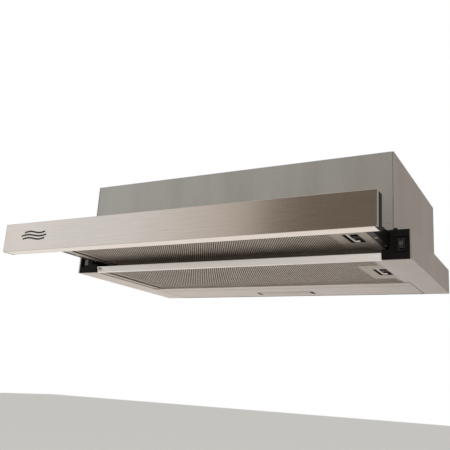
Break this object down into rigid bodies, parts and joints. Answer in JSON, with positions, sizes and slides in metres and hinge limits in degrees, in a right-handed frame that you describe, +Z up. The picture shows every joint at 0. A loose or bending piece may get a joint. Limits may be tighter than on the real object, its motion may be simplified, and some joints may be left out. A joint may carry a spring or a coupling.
{
  "type": "under cabinet range hood",
  "caption": "Slim range hood with a pull-out tray, grease filters that unlatch, a lamp, a rocker switch and a top outlet with non-return flaps.",
  "frame": {"origin": "middle of the rear face, level with the ledges that meet the cabinet's underside", "axes": "+X to the user's right, +Y towards the wall, +Z up"},
  "size_m": [0.598, 0.4747, 0.1908],
  "materials": {
    "galvanised": "satin zinc-coated sheet",
    "base_paint": "satin light grey paint",
    "stainless": "brushed along its length",
    "satin_aluminium": "satin anodised",
    "filter_aluminium": "expanded mesh and folded frame",
    "tray_steel": "satin zinc-coated sheet",
    "black_plastic": "fine moulded texture",
    "grey_plastic": "moulded",
    "white_plastic": "moulded",
    "lamp_diffuser": "frosted",
    "zinc": "zinc plated",
    "motor_metal": "laminated steel with copper windings",
    "circuit_board": "solder mask"
  },
  "bodies": {
    "hood": {"side_panel_left": "galvanised", "side_panel_right": "galvanised", "front_panel": "galvanised", "top_panel": "galvanised", "back_panel": "galvanised", "guide_rail_left": "galvanised", "guide_rail_right": "galvanised", "filter_rail_left": "base_paint", "filter_rail_right": "base_paint", "rear_rail": "base_paint", "lamp_panel": "base_paint", "front_strip": "satin_aluminium", "corner_block_left": "black_plastic", "corner_block_right": "black_plastic", "switch_frame": "black_plastic", "tray_switch": "black_plastic", "cable_gland": "black_plastic", "outlet_collar": "black_plastic", "blank_plug": "grey_plastic", "scroll_housing": "grey_plastic", "scroll_side_left": "grey_plastic", "scroll_side_right": "grey_plastic", "lamp_housing": "white_plastic", "terminal_box": "white_plastic", "motor_capacitor": "white_plastic", "lamp_lens": "lamp_diffuser", "motor_bracket": "zinc", "collar_screw_1": "zinc", "collar_screw_2": "zinc", "collar_screw_3": "zinc", "collar_screw_4": "zinc", "strip_screw": "zinc", "motor": "motor_metal", "lamp_board": "circuit_board"},
    "tray": {"tray_fascia": "stainless", "tray_front_rail": "tray_steel", "tray_rear_rail": "tray_steel", "tray_cover": "tray_steel", "tray_filter_frame": "filter_aluminium", "tray_filter_mesh": "filter_aluminium", "fascia_cap_left": "black_plastic", "fascia_cap_right": "black_plastic", "tray_side_rail_left": "satin_aluminium", "tray_side_rail_right": "satin_aluminium", "tray_arm_left": "black_plastic", "tray_arm_right": "black_plastic", "arm_screw_left_1": "zinc", "arm_screw_left_2": "zinc", "arm_screw_right_1": "zinc", "arm_screw_right_2": "zinc"},
    "tray_filter_latch": {"tray_filter_latch": "satin_aluminium"},
    "filter": {"filter_frame": "filter_aluminium", "filter_mesh": "filter_aluminium"},
    "filter_latch": {"filter_latch": "satin_aluminium"},
    "rocker": {"switch_rocker": "black_plastic"},
    "tray_switch_button": {"tray_switch_button": "white_plastic"},
    "fan": {"impeller": "grey_plastic", "motor_shaft": "zinc"},
    "flap_front": {"flap_front": "grey_plastic"},
    "flap_rear": {"flap_rear": "grey_plastic"}
  },
  "joints": [
    {"name": "tray_slide", "type": "slide", "parent": "hood", "child": "tray", "axis": [0, 1, 0], "range_m": [0, 0.152]},
    {"name": "tray_filter_latch_slide", "type": "slide", "parent": "tray", "child": "tray_filter_latch", "axis": [-1, 0, 0], "range_m": [0, 0.0045], "stiffness_N_per_m": 300, "springref_m": -0.004},
    {"name": "filter_hinge", "type": "hinge", "parent": "hood", "child": "filter", "pos_m": [-0.2465, -0.204, -0.038], "axis": [0, 1, 0], "range_deg": [0, 75]},
    {"name": "filter_latch_slide", "type": "slide", "parent": "filter", "child": "filter_latch", "axis": [-1, 0, 0], "range_m": [0, 0.0045], "stiffness_N_per_m": 300, "springref_m": -0.004},
    {"name": "rocker_tilt", "type": "hinge", "parent": "hood", "child": "rocker", "pos_m": [0.2845, -0.297, -0.0215], "axis": [1, 0, 0], "range_deg": [-12, 12]},
    {"name": "tray_switch_press", "type": "slide", "parent": "hood", "child": "tray_switch_button", "axis": [0, 1, 0], "range_m": [0, 0.0012], "stiffness_N_per_m": 200, "springref_m": -0.001},
    {"name": "fan_spin", "type": "hinge", "parent": "hood", "child": "fan", "pos_m": [0, -0.167, 0.0607], "axis": [1, 0, 0], "continuous": true},
    {"name": "flap_front_swing", "type": "hinge", "parent": "hood", "child": "flap_front", "pos_m": [0, -0.1518, 0.1243], "axis": [-1, 0, 0], "range_deg": [0, 80]},
    {"name": "flap_rear_swing", "type": "hinge", "parent": "hood", "child": "flap_rear", "pos_m": [0, -0.1482, 0.1243], "axis": [1, 0, 0], "range_deg": [0, 80]}
  ]
}
